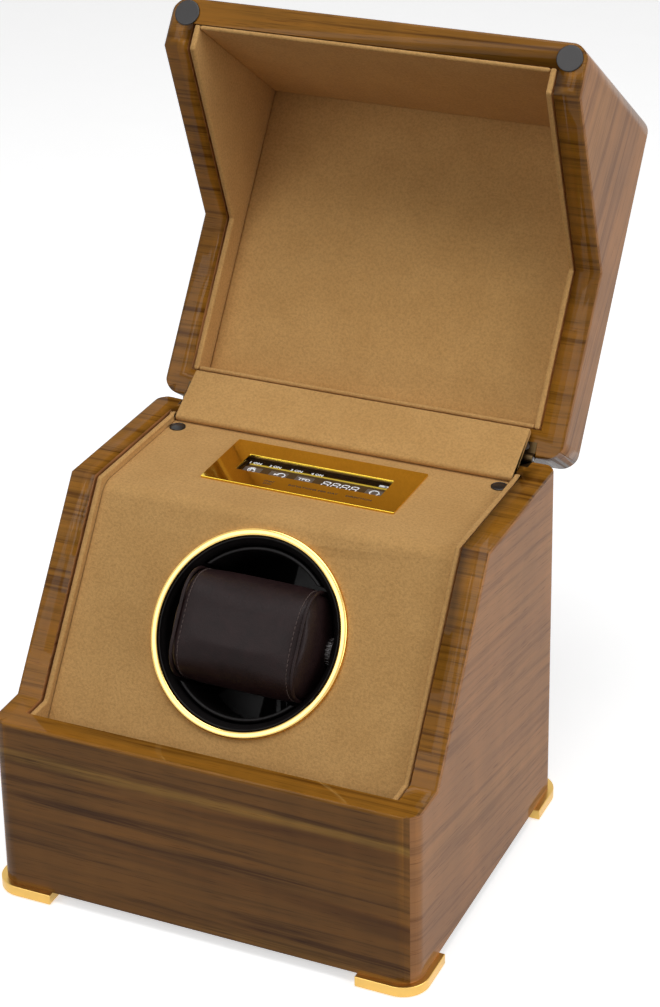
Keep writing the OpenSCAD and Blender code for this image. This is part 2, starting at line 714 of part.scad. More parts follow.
// Corner foot: an L with a rounded outer corner, standing out from the case
module foot(x, y) color(gilt) in_box() difference() {
    translate([0, y * box_d, 0]) mirror([0, y, 0]) translate([x * (box_w / 2 + foot_out), -foot_out, -foot_t])
        mirror([x > 0 ? 1 : 0, 0, 0]) linear_extrude(foot_t) intersection() {
            union() {
                square([foot_l, foot_w]);
                square([foot_w, foot_l]);
            }
            rounded(2 * foot_l, 2 * foot_l, corner_r + foot_out);
        }
    at_foot_screws() translate([0, 0, -foot_t]) mirror([0, 0, 1])
        screw_hole(screw_r, screw_head_r, screw_head_l, foot_screw_l);
}
module foot_front_left() foot(-1, 0);
module foot_front_right() foot(1, 0);
module foot_back_left() foot(-1, 1);
module foot_back_right() foot(1, 1);

// Two screws to a foot, each up into the middle of a wall
module at_foot_screws() both_sides() {
    for (y = [foot_hole_in, box_d - foot_hole_in]) translate([box_w / 2 - side_t / 2, y, 0]) children();
    for (y = [front_t / 2, box_d - back_t / 2]) translate([box_w / 2 - foot_hole_in, y, 0]) children();
}

module foot_screws() color(steel) in_box() at_foot_screws() translate([0, 0, -foot_t])
    mirror([0, 0, 1]) screw(screw_r, screw_head_r, screw_head_l, foot_screw_l);

module foot_pads() color(rubber) in_box() both_sides() for (y = [pad_in, box_d - pad_in])
    translate([box_w / 2 - pad_in, y, -foot_h]) cylinder(h = pad_t, r = pad_r);

// ---- Hinges ----

module at_hinges() both_sides() translate([hinge_x, 0, 0]) children();

module hinge_axis() translate([0, pivot_y, pivot_z]) rotate([0, 90, 0]) children();

// Mortises for the leaves from z0 to z1, and the groove for the knuckles
module hinge_beds(z0, z1) at_hinges() {
    translate([-hinge_l / 2 - seat_gap, leaf_y - seat_gap, z0])
        cube([hinge_l + 2 * seat_gap, box_d, z1 - z0]);
    hinge_axis() cylinder(h = hinge_l + 0.6, r = knuckle_r + 0.3, center = true);
}

module at_leaf_screws(z) at_hinges() for (x = [-hinge_l / 3.2, hinge_l / 3.2])
    translate([x, (leaf_y + box_d - knuckle_r) / 2, z]) children();

// One leaf with its knuckles: places are the middles of this leaf's knuckles, others the rest
module leaf(z0, places, others) difference() {
    union() {
        difference() {
            translate([-hinge_l / 2, leaf_y, z0]) cube([hinge_l, pivot_y - leaf_y, leaf_t]);
            for (x = others) translate([x, 0, 0]) hinge_axis()
                cylinder(h = knuckle_l + 0.3, r = knuckle_r + 0.25, center = true);
        }
        for (x = places) translate([x, 0, 0]) hinge_axis()
            cylinder(h = knuckle_l - 0.15, r = knuckle_r, center = true);
    }
    hinge_axis() cylinder(h = hinge_l + 1, r = pin_r + seat_gap, center = true);
}

module hinge_base_leaves() color(gilt) in_box() difference() {
    at_hinges() leaf(rim_h - leaf_t, [-knuckle_l, knuckle_l], [0]);
    at_leaf_screws(rim_h) screw_hole(small_r, small_head_r, small_head_l, leaf_screw_l);
}

module hinge_lid_leaves() color(gilt) opened() difference() {
    at_hinges() leaf(rim_h + lid_gap, [0], [-knuckle_l, knuckle_l]);
    at_leaf_screws(rim_h + lid_gap) mirror([0, 0, 1])
        screw_hole(small_r, small_head_r, small_head_l, leaf_screw_l);
}

module hinge_pins() color(steel) in_box() at_hinges() hinge_axis()
    cylinder(h = hinge_l, r = pin_r, center = true);

module base_leaf_screws() color(steel) in_box() at_leaf_screws(rim_h)
    screw(small_r, small_head_r, small_head_l, leaf_screw_l);

module lid_leaf_screws() color(steel) opened() at_leaf_screws(rim_h + lid_gap) mirror([0, 0, 1])
    screw(small_r, small_head_r, small_head_l, leaf_screw_l);

// ---- Lid, drawn in its shut place and opened ----

module lid_case() color(walnut) opened() difference() {
    intersection() {
        plan(front_h, closed_h);
        level_bar(front_h + lid_gap, closed_h);
        union() {
            sloping_bar(lid_gap, 0, 2 * rim_h);
            level_bar(rim_h + lid_gap, closed_h);
        }
        across(box_w) union() {
            translate([0, front_h + lid_gap])
                rounded(box_d - knee_d / 2, closed_h - front_h - lid_gap, edge_r);
            translate([knee_d / 2, rim_h + lid_gap])
                rounded(box_d - knee_d / 2, lid_h - lid_gap, edge_r);
        }
    }
    translate([-inner_w / 2, front_t, 0]) cube([inner_w, back_y - front_t, closed_h - top_t]);
    hinge_beds(rim_h, rim_h + lid_gap + leaf_t);
    at_leaf_screws(rim_h + lid_gap) mirror([0, 0, 1])
        screw_hole(small_r, small_head_r, small_head_l, leaf_screw_l);
}

module lid_lining_side(side) color(suede) opened()
    translate([side * (inner_w / 2 - lining_gap - lid_lining_t / 2), 0, 0]) across(lid_lining_t)
        over_rim(lid_gap, front_t + soft_gap, back_y - soft_gap, closed_h - top_t - soft_gap);
module lid_lining_left() lid_lining_side(-1);
module lid_lining_right() lid_lining_side(1);

// A board between the lid's side linings, from (y0, z0) to (y1, z1)
module lid_board(y0, z0, y1, z1) color(suede) opened()
    translate([-lid_inner_w / 2, y0, z0]) cube([lid_inner_w, y1 - y0, z1 - z0]);

module lid_top_lining() lid_board(front_t + soft_gap, lid_under, back_y - soft_gap, lid_under + lid_lining_t);
module lid_front_lining() lid_board(
    front_t + soft_gap, front_h + lid_gap, front_t + soft_gap + lid_end_t, lid_under - seat_gap
);
module lid_back_lining() lid_board(
    back_y - soft_gap - lid_end_t, rim_h + lid_gap, back_y - soft_gap, lid_under - seat_gap
);

// Flat bumpers on the corners of the lid's front rim
module lid_bumpers() color(rubber) opened() both_sides()
    translate([box_w / 2 - bumper_x, bumper_y, front_h + lid_gap - bumper_t])
        cylinder(h = bumper_t, r = bumper_r);

// ---- Flap over the hinge side ----

module flap_axis() translate([0, flap_y, flap_z]) children();

// Covered board that leans back over the rim and folds forward as the lid shuts
module flap() color(suede) in_box() flap_axis() rotate([flap_a, 0, 0]) across(flap_w) difference() {
    union() {
        circle(flap_t / 2);
        translate([0, -flap_t / 2]) square([flap_l - flap_edge, flap_t]);
        translate([0, -flap_t / 2 + flap_edge]) square([flap_l, flap_t - 2 * flap_edge]);
        for (z = [-1, 1]) translate([flap_l - flap_edge, z * (flap_t / 2 - flap_edge)]) circle(flap_edge);
    }
    circle(flap_pin_r + seat_gap);
}

module flap_pin() color(steel) in_box() flap_axis() rotate([0, 90, 0])
    cylinder(h = lined_w + lining_t, r = flap_pin_r, center = true);

// ---- Nodes ----

base_case();
floor_board();
base_lining_left();
base_lining_right();
fascia_battens();
fascia();
fascia_plugs();
drum_ring();
drum_housing();
housing_screws();
drum_bush();
gear_bracket();
bracket_screws();
motor();
drum_cup();
drum_shaft();
drum_gear();
motor_pinion();
cushion_core();
cushion_cuff();
cushion_cap_left();
cushion_cap_right();
control_plate();
display_glass();
display_module();
circuit_board();
board_posts();
battery_box();
battery_cover();
cover_screws();
power_inlet();
foot_front_left();
foot_front_right();
foot_back_left();
foot_back_right();
foot_pads();
foot_screws();
hinge_base_leaves();
hinge_pins();
base_leaf_screws();
lid_case();
lid_top_lining();
lid_front_lining();
lid_back_lining();
lid_lining_left();
lid_lining_right();
lid_bumpers();
hinge_lid_leaves();
lid_leaf_screws();
flap();
flap_pin();
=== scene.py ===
# Watch winder box: finishes, soft pieces, display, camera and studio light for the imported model.
# Metres, in the part's own frame: +X right of someone facing the drum, +Y back, +Z up.
import json
import math

import bpy
from mathutils import Matrix, Vector


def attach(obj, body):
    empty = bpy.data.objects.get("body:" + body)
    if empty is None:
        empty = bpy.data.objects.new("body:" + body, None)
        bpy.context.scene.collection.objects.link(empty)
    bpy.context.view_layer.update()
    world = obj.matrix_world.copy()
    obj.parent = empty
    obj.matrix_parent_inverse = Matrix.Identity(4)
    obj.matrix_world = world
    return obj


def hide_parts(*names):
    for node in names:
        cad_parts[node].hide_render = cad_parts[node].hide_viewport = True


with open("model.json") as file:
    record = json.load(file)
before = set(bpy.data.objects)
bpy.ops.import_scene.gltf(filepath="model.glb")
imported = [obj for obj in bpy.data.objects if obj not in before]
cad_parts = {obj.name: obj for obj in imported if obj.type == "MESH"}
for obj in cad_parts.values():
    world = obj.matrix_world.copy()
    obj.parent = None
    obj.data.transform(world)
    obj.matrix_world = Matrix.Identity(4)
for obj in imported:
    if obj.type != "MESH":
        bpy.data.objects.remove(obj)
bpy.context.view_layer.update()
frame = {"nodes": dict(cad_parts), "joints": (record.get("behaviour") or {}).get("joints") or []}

MM = 0.001
JOINT = {joint["name"]: joint for joint in frame["joints"]}
LID_OPEN = math.radians(125)  # the lid stands open by this much at rest
LID_AXIS = Vector(JOINT["lid_hinge"]["pos_m"])
DRUM_MIDDLE = Vector(JOINT["drum_spin"]["pos_m"])
DRUM_AXIS = Vector(JOINT["drum_spin"]["axis"])
SLOPE = math.atan2(-DRUM_AXIS.y, DRUM_AXIS.z)
ON_SLOPE = Matrix.Translation(DRUM_MIDDLE) @ Matrix.Rotation(SLOPE, 4, "X")  # x, up the slope, out of it

# Colours, linear
SUEDE_LIGHT = (0.56, 0.325, 0.120)
SUEDE_DARK = (0.45, 0.245, 0.080)
WALNUT_DARK = (0.095, 0.036, 0.009)
WALNUT_MID = (0.245, 0.108, 0.024)
WALNUT_GOLD = (0.31, 0.150, 0.034)
STREAK_GOLD = (0.40, 0.215, 0.045)
RIM_GOLD = (0.25, 0.105, 0.011)
# Painted light: a lighter, warmer wood colour for the side walls, standing in for the light and sheen that
# brighten them
SIDE_WALL_PAINTED_LIGHT = (0.50, 0.235, 0.098)
GILT = (0.90, 0.60, 0.19)
PLATE_GILT = (0.90, 0.62, 0.07)
FOOT_GILT = (0.72, 0.46, 0.13)
LEATHER = (0.012, 0.0055, 0.0055)
GLOSS_BLACK = (0.006, 0.005, 0.005)
DISPLAY_WHITE = (0.80, 0.82, 0.86)
KEY_GREY = (0.115, 0.095, 0.085)


# ---- Bench work ----

def clear():
    if bpy.context.object and bpy.context.object.mode != "OBJECT":
        bpy.ops.object.mode_set(mode="OBJECT")
    bpy.ops.object.select_all(action="DESELECT")


def pick(piece):
    clear()
    piece.select_set(True)
    bpy.context.view_layer.objects.active = piece
    return piece


def named(name):
    piece = bpy.context.object
    piece.name = name
    piece.data.name = name
    return piece


def settle(piece):
    """Moves the piece's place into its mesh."""
    pick(piece)
    bpy.ops.object.transform_apply(location=True, rotation=True, scale=True)
    return piece


def apply_all(piece):
    pick(piece)
    for modifier in list(piece.modifiers):
        bpy.ops.object.modifier_apply(modifier=modifier.name)
    return piece


def smooth(piece, degrees=35):
    pick(piece)
    bpy.ops.object.shade_smooth_by_angle(angle=math.radians(degrees))
    return piece


def outwards(piece):
    pick(piece)
    bpy.ops.object.mode_set(mode="EDIT")
    bpy.ops.mesh.select_all(action="SELECT")
    bpy.ops.mesh.remove_doubles(threshold=1e-6)
    bpy.ops.mesh.normals_make_consistent(inside=False)
    bpy.ops.object.mode_set(mode="OBJECT")
    return piece


def join(pieces, name):
    pick(pieces[0])
    for piece in pieces:
        piece.select_set(True)
    bpy.ops.object.join()
    return named(name)


def place_by(piece, matrix):
    """Puts the piece where the matrix says, and its place into its mesh."""
    piece.matrix_world = matrix @ piece.matrix_world
    return settle(piece)


def tube(points, radius, name, closed=False, sides=3):
    """A round cord along the points, made a mesh."""
    curve = bpy.data.curves.new(name, "CURVE")
    curve.dimensions = "3D"
    curve.bevel_depth = radius
    curve.bevel_resolution = sides
    curve.use_fill_caps = True
    line = curve.splines.new("POLY")
    line.points.add(len(points) - 1)
    for spot, point in zip(line.points, points):
        spot.co = (*point, 1)
    line.use_cyclic_u = closed
    piece = bpy.data.objects.new(name, curve)
    bpy.context.scene.collection.objects.link(piece)
    pick(piece)
    bpy.ops.object.convert(target="MESH")
    return named(name)


def block(size, place, name, eased=0.0, steps=2):
    """A plate or bar with eased edges."""
    clear()
    bpy.ops.mesh.primitive_cube_add(size=1)
    piece = named(name)
    piece.scale = size
    settle(piece)
    if eased:
        bevel = piece.modifiers.new("eased", "BEVEL")
        bevel.width = eased
        bevel.segments = steps
        apply_all(piece)
    piece.location = place
    return settle(piece)


def finish_piece(piece, body, material, replaced=()):
    piece.data.materials.clear()
    piece.data.materials.append(material)
    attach(piece, body)
    if replaced:
        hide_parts(*replaced)
    return piece


def even_shading(piece, degrees=40):
    """Smooth shading that keeps the large flat faces flat."""
    smooth(piece, degrees)
    weighted = piece.modifiers.new("weighted", "WEIGHTED_NORMAL")
    weighted.weight = 100
    weighted.keep_sharp = True
    return apply_all(piece)


def eased_copy(node, radius=0.0, steps=3, degrees=32):
    """A copy of a CAD node with its points merged; a radius also rounds its sharp edges."""
    source = frame["nodes"][node]
    piece = bpy.data.objects.new(node + "_finished", source.data.copy())
    bpy.context.scene.collection.objects.link(piece)
    pick(piece)
    bpy.ops.object.mode_set(mode="EDIT")
    bpy.ops.mesh.select_all(action="SELECT")
    bpy.ops.mesh.remove_doubles(threshold=2e-6)
    if radius:
        bpy.ops.mesh.dissolve_limited(angle_limit=math.radians(0.6))
    bpy.ops.object.mode_set(mode="OBJECT")
    if not radius:
        return even_shading(piece)
    bevel = piece.modifiers.new("eased", "BEVEL")
    bevel.width = radius
    bevel.segments = steps
    bevel.limit_method = "ANGLE"
    bevel.angle_limit = math.radians(degrees)
    bevel.use_clamp_overlap = False
    bevel.harden_normals = False
    apply_all(piece)
    return even_shading(piece)


# ---- Finishes ----

class Finish:
    """A material built node by node."""

    def __init__(self, name):
        self.material = bpy.data.materials.new(name)
        self.material.use_nodes = True
        self.tree = self.material.node_tree
        self.shader = self.tree.nodes["Principled BSDF"]
        self.place = self.tree.nodes.new("ShaderNodeTexCoord")

    def node(self, kind, **settings):
        made = self.tree.nodes.new(kind)
        for key, value in settings.items():
            setattr(made, key, value)
        return made

    def link(self, output, socket):
        self.tree.links.new(output, socket)

    def set(self, **values):
        for key, value in values.items():
            self.shader.inputs[key.replace("_", " ")].default_value = value
        return self

    def mapped(self, vector, scale=(1, 1, 1), rotation=(0, 0, 0), location=(0, 0, 0)):
        mapping = self.node("ShaderNodeMapping")
        mapping.inputs["Scale"].default_value = scale
        mapping.inputs["Rotation"].default_value = rotation
        mapping.inputs["Location"].default_value = location
        self.link(vector, mapping.inputs["Vector"])
        return mapping.outputs["Vector"]

    def noise(self, vector, scale, detail=4.0, rough=0.55, distortion=0.0):
        texture = self.node("ShaderNodeTexNoise")
        texture.inputs["Scale"].default_value = scale
        texture.inputs["Detail"].default_value = detail
        texture.inputs["Roughness"].default_value = rough
        texture.inputs["Distortion"].default_value = distortion
        self.link(vector, texture.inputs["Vector"])
        return texture.outputs["Fac"]

    def math(self, operation, first, second=0.0, third=0.0):
        made = self.node("ShaderNodeMath", operation=operation)
        for socket, value in zip(made.inputs, (first, second, third)):
            if isinstance(value, (int, float)):
                socket.default_value = value
            else:
                self.link(value, socket)
        return made.outputs["Value"]

    def ramp(self, factor, *stops):
        made = self.node("ShaderNodeValToRGB")
        elements = made.color_ramp.elements
        while len(elements) < len(stops):
            elements.new(0.5)
        for element, (place, colour) in zip(elements, stops):
            element.position = place
            element.color = (*colour, 1)
        self.link(factor, made.inputs["Fac"])
        return made.outputs["Color"]

    def blend(self, factor, first, second, mode="MIX"):
        made = self.node("ShaderNodeMix", data_type="RGBA", blend_type=mode)
        for socket, value in ((made.inputs[0], factor), (made.inputs[6], first), (made.inputs[7], second)):
            if isinstance(value, (int, float)):
                socket.default_value = value
            elif isinstance(value, tuple):
                socket.default_value = (*value, 1)
            else:
                self.link(value, socket)
        return made.outputs[2]

    def bump(self, height, strength, depth):
        made = self.node("ShaderNodeBump")
        made.inputs["Strength"].default_value = strength
        made.inputs["Distance"].default_value = depth
        self.link(height, made.inputs["Height"])
        self.link(made.outputs["Normal"], self.shader.inputs["Normal"])


SIDE_FALL = 0.16  # slope of the side veneer's grain
STREAK_AT = 0.0055  # brings the golden streak to about 14 mm below the front's top


def brought_level(turn, centre):
    """The move that brings a tilted piece back to where it stands level."""
    return Matrix.Translation(centre) @ Matrix.Rotation(turn, 4, "X") @ Matrix.Translation(-centre)


def lay_grain(piece, turn, centre, seed):
    """Writes, for every corner, where it lies along and across the veneer's grain.
    The grain runs level along the front and all rims, and falls a little to the back on the side walls.
    turn and centre bring a tilted piece back to where it stands level."""
    back = brought_level(turn, centre)
    mesh = piece.data
    mesh.attributes.new("grain", "FLOAT_VECTOR", "CORNER")
    mesh.attributes.new("rim", "FLOAT", "CORNER")
    mesh.attributes.new("wall", "FLOAT", "CORNER")
    grain, rim, side = (mesh.attributes[name] for name in ("grain", "rim", "wall"))
    for face in mesh.polygons:
        facing = back.to_3x3() @ face.normal
        wall = abs(facing.x) > 0.70
        on_rim = not wall and abs(facing.z) > 0.45
        for corner in face.loop_indices:
            at = back @ mesh.vertices[mesh.loops[corner].vertex_index].co
            if wall:
                place = (at.y, at.z + SIDE_FALL * at.y, seed + 2.0 * math.copysign(1, facing.x))
            else:
                place = (at.x, at.z + at.y, seed)
            grain.data[corner].vector = place
            rim.data[corner].value = float(on_rim)
            side.data[corner].value = float(wall)
    return piece


def walnut(name):
    """Lacquered walnut that follows the grain laid on the piece."""
    wood = Finish(name)
    grain = wood.node("ShaderNodeAttribute", attribute_name="grain").outputs["Vector"]
    rim = wood.node("ShaderNodeAttribute", attribute_name="rim").outputs["Fac"]
    wall = wood.node("ShaderNodeAttribute", attribute_name="wall").outputs["Fac"]
    broad = wood.noise(wood.mapped(grain, (2.4, 34, 1)), 1.0, 3, 0.5, 0.4)
    streak = wood.noise(wood.mapped(grain, (5.5, 210, 1)), 1.0, 5, 0.62, 0.5)
    fleck = wood.noise(wood.mapped(grain, (60, 1500, 1)), 1.0, 2, 0.6, 0.1)
    chatter = wood.noise(wood.mapped(grain, (42, 12, 1)), 1.0, 3, 0.5, 0.2)

    base = wood.ramp(broad, (0.34, WALNUT_DARK), (0.45, WALNUT_MID),
                     (0.57, WALNUT_MID), (0.66, WALNUT_GOLD))
    golden = wood.ramp(broad, (0.34, WALNUT_MID), (0.44, RIM_GOLD),
                       (0.60, RIM_GOLD), (0.70, WALNUT_MID))
    base = wood.blend(wood.math("MULTIPLY", rim, 0.85), base, golden)
    # Painted light: the side walls are blended towards a lighter colour in place of the light that falls
    # on them
    base = wood.blend(wood.math("MULTIPLY", wall, 0.72), base, SIDE_WALL_PAINTED_LIGHT)
    apart = wood.node("ShaderNodeSeparateXYZ")
    wood.link(grain, apart.inputs[0])
    wander = wood.math("MULTIPLY_ADD", broad, 0.012, apart.outputs["Y"])
    off_streak = wood.math("ABSOLUTE", wood.math("ADD", wander, STREAK_AT))
    streak_share = wood.ramp(wood.math("MULTIPLY", off_streak, 200.0),
                             (0.25, (0.75, 0.75, 0.75)), (0.75, (0, 0, 0)))
    plain_front = wood.math("SUBTRACT", 1.0, wood.math("ADD", rim, wall))
    base = wood.blend(wood.math("MULTIPLY", streak_share, plain_front), base, STREAK_GOLD)
    lines = wood.ramp(streak, (0.36, (0.38, 0.31, 0.26)), (0.48, (1, 1, 1)), (0.66, (1.32, 1.25, 1.10)))
    calm = wood.math("MULTIPLY_ADD", wall, -0.45, 0.85)
    colour = wood.blend(calm, base, lines, "MULTIPLY")
    pores = wood.ramp(fleck, (0.30, (0.45, 0.38, 0.34)), (0.42, (1, 1, 1)))
    colour = wood.blend(0.6, colour, pores, "MULTIPLY")
    sheen = wood.ramp(chatter, (0.35, (0.86, 0.86, 0.86)), (0.65, (1.14, 1.12, 1.08)))
    colour = wood.blend(0.6, colour, sheen, "MULTIPLY")
    wood.link(colour, wood.shader.inputs["Base Color"])
    wood.set(Roughness=0.45, Specular_IOR_Level=0.0)
    wood.set(Coat_Weight=0.42, Coat_Roughness=0.02, Coat_IOR=1.34)
    return wood.material


def suede(name):
    cloth = Finish(name)
    spot = cloth.place.outputs["Object"]
    patches = cloth.noise(spot, 55, 4, 0.6)
    nap = cloth.noise(spot, 900, 3, 0.7)
    tone = cloth.ramp(patches, (0.35, SUEDE_DARK), (0.65, SUEDE_LIGHT))
    speck = cloth.ramp(nap, (0.30, (0.80, 0.79, 0.77)), (0.60, (1.06, 1.06, 1.06)))
    colour = cloth.blend(0.9, cloth.blend(0.35, SUEDE_LIGHT, tone), speck, "MULTIPLY")
    cloth.link(colour, cloth.shader.inputs["Base Color"])
    cloth.bump(nap, 0.5, 0.0005)
    cloth.set(Roughness=0.95, Specular_IOR_Level=0.1, Sheen_Weight=0.08, Sheen_Roughness=0.5)
    cloth.shader.inputs["Sheen Tint"].default_value = (1.0, 0.86, 0.66, 1)
    return cloth.material


def gilt(name, roughness, shade=GILT):
    metal = Finish(name)
    haze = metal.noise(metal.place.outputs["Object"], 260, 3, 0.6)
    colour = metal.ramp(haze, (0.3, tuple(c * 0.95 for c in shade)), (0.7, shade))
    metal.link(colour, metal.shader.inputs["Base Color"])
    low = roughness * 0.8
    metal.link(metal.math("MULTIPLY_ADD", haze, roughness * 0.4, low), metal.shader.inputs["Roughness"])
    metal.set(Metallic=1.0)
    return metal.material


def plain(name, colour, roughness, metallic=0.0, grain=400.0, depth=0.00005, coat=0.0, shine=0.5):
    """A moulded or metal surface: faint mottling and a fine skin texture."""
    stuff = Finish(name)
    fine = stuff.noise(stuff.place.outputs["Object"], grain, 3, 0.6)
    darker = tuple(c * 0.88 for c in colour)
    lighter = tuple(min(1, c * 1.1) for c in colour)
    tone = stuff.ramp(fine, (0.3, darker), (0.7, lighter))
    stuff.link(tone, stuff.shader.inputs["Base Color"])
    stuff.link(stuff.math("MULTIPLY_ADD", fine, 0.12, roughness), stuff.shader.inputs["Roughness"])
    if depth:
        stuff.bump(fine, 0.25, depth)
    stuff.set(Metallic=metallic, Coat_Weight=coat, Coat_Roughness=0.04, Specular_IOR_Level=shine)
    return stuff.material


def leather(name):
    hide = Finish(name)
    spot = hide.place.outputs["Object"]
    cells = hide.node("ShaderNodeTexVoronoi", feature="DISTANCE_TO_EDGE")
    cells.inputs["Scale"].default_value = 900
    hide.link(spot, cells.inputs["Vector"])
    crease = hide.noise(spot, 140, 5, 0.65, 0.6)
    darker = tuple(c * 0.75 for c in LEATHER)
    lighter = tuple(c * 1.5 for c in LEATHER)
    tone = hide.ramp(crease, (0.3, darker), (0.7, lighter))
    hide.link(tone, hide.shader.inputs["Base Color"])
    height = hide.math("ADD", hide.math("MULTIPLY", cells.outputs["Distance"], 0.6), crease)
    hide.bump(height, 0.35, 0.0004)
    hide.set(Roughness=0.45, Specular_IOR_Level=0.16)
    return hide.material


def glowing(name, colour, strength):
    lit = Finish(name)
    flicker = lit.noise(lit.place.outputs["Object"], 300, 2, 0.5)
    tone = lit.ramp(flicker, (0.3, tuple(c * 0.9 for c in colour)), (0.7, colour))
    lit.link(tone, lit.shader.inputs["Base Color"])
    lit.link(tone, lit.shader.inputs["Emission Color"])
    lit.set(Emission_Strength=strength, Roughness=0.3)
    return lit.material


# ---- Case, lid and covered boards ----

EASED_BOARD = 0.9 * MM
LID_GAP = 1.0 * MM
BASE_SEED, LID_SEED = 3.1, 17.4  # where in the veneer each shell is cut from
STANDS_LEVEL = Vector((0, 0, 0))
RIM_FRONT, RIM_TOP = 83.2 * MM, 161.7 * MM  # heights of the base's rim
KNEE_FRONT, KNEE_BACK = -57.0 * MM, -2.0 * MM  # where the rim starts and stops rising
ROLL_LINES = (90.0 * MM, -88.5 * MM)  # where the tilted strip of each side rim starts
ROLL_WIDTH = 5.2 * MM
ROLL = math.tan(math.radians(3.0))
ROLL_REACH = 2.2 * MM


def rim_height(y, gap):
    """The rim's height and steepness at a depth, in the shut box."""
    front = RIM_FRONT + gap
    top = RIM_TOP + gap
    share = min(max((y - KNEE_FRONT) / (KNEE_BACK - KNEE_FRONT), 0.0), 1.0)
    steep = math.atan2(top - front, KNEE_BACK - KNEE_FRONT) if 0 < share < 1 else 0.0
    return front + share * (top - front), steep


def roll_rims(piece, turn, centre, facing, gap):
    """Tilts a narrow strip along one side of the side rims, as hand polishing leaves it."""
    back = brought_level(turn, centre)
    piece.data.transform(back)
    pick(piece)
    bpy.ops.object.mode_set(mode="EDIT")
    for line in ROLL_LINES:
        bpy.ops.mesh.select_all(action="SELECT")
        bpy.ops.mesh.bisect(plane_co=(line, 0, 0), plane_no=(1, 0, 0))
        bpy.ops.mesh.mark_sharp()
    bpy.ops.object.mode_set(mode="OBJECT")
    for vertex in piece.data.vertices:
        height, steep = rim_height(vertex.co.y, gap)
        depth = facing * (height - vertex.co.z) * math.cos(steep)
        if not -0.3 * MM < depth < ROLL_REACH:
            continue
        for line in ROLL_LINES:
            past = vertex.co.x - line
            if 0 < past < ROLL_WIDTH:
                drop = facing * ROLL * past
                vertex.co.y += drop * math.sin(steep)
                vertex.co.z -= drop * math.cos(steep)
    piece.data.transform(back.inverted())
    return even_shading(piece)


def finish_wood():
    wood = walnut("walnut")
    base = roll_rims(eased_copy("base_case"), 0.0, STANDS_LEVEL, 1, 0.0)
    finish_piece(lay_grain(base, 0.0, STANDS_LEVEL, BASE_SEED), "case", wood, ["base_case"])
    lid = roll_rims(eased_copy("lid_case"), LID_OPEN, LID_AXIS, -1, LID_GAP)
    finish_piece(lay_grain(lid, LID_OPEN, LID_AXIS, LID_SEED), "lid", wood, ["lid_case"])


def finish_boards():
    cloth = suede("suede")
    finish_piece(eased_copy("fascia"), "case", cloth, ["fascia"])
    for node in ("base_lining_left", "base_lining_right"):
        finish_piece(eased_copy(node, EASED_BOARD), "case", cloth, [node])
    for side in ("top", "front", "back"):
        node = f"lid_{side}_lining"
        finish_piece(eased_copy(node, EASED_BOARD), "lid", cloth, [node])
    for node in ("lid_lining_left", "lid_lining_right"):
        finish_piece(eased_copy(node, EASED_BOARD), "lid", cloth, [node])
    finish_piece(eased_copy("flap", EASED_BOARD * 0.8), "flap", cloth, ["flap"])


# ---- Metal and mouldings ----

RING_MIDDLE = 41.7 * MM
RING_HALF = 1.6 * MM
RING_TOP = 2.0 * MM
RING_FLATNESS = 0.3  # below 1 the section's top is flatter


def spun_ring():
    """The trim ring round the drum: a flat-backed, rounded section spun about the drum's axis."""
    clear()
    bpy.ops.mesh.primitive_circle_add(vertices=28, radius=1, rotation=(math.pi / 2, 0, 0))
    ring = named("trim_ring")
    settle(ring)
    for vertex in ring.data.vertices:
        across, up = vertex.co.x, vertex.co.z
        vertex.co = (RING_MIDDLE + RING_HALF * across, 0, RING_TOP * max(up, 0) ** RING_FLATNESS)
    pick(ring)
    bpy.ops.object.mode_set(mode="EDIT")
    bpy.ops.mesh.select_all(action="SELECT")
    bpy.ops.mesh.spin(steps=240, angle=math.tau, center=(0, 0, 0), axis=(0, 0, 1))
    bpy.ops.object.mode_set(mode="OBJECT")
    outwards(ring)
    smooth(ring, 50)
    return place_by(ring, ON_SLOPE)


def finish_metal():
    polish = gilt("gilt_polished", 0.07)
    satin = gilt("gilt_feet", 0.3, FOOT_GILT)
    mirror = gilt("gilt_plate", 0.05, PLATE_GILT)
    aged = plain("gilt_hinges", (0.07, 0.045, 0.02), 0.3, metallic=1.0, depth=0.0)
    for foot in ("foot_front_left", "foot_front_right", "foot_back_left", "foot_back_right"):
        finish_piece(eased_copy(foot, 0.35 * MM, 2), "case", satin, [foot])
    finish_piece(spun_ring(), "case", polish, ["drum_ring"])
    finish_piece(eased_copy("control_plate", 0.2 * MM, 2), "case", mirror, ["control_plate"])
    finish_piece(eased_copy("hinge_base_leaves", 0.15 * MM, 2), "case", aged, ["hinge_base_leaves"])
    finish_piece(eased_copy("hinge_lid_leaves", 0.15 * MM, 2), "lid", aged, ["hinge_lid_leaves"])


def paint(node, material):
    piece = frame["nodes"][node]
    piece.data.materials.clear()
    piece.data.materials.append(material)
    return piece


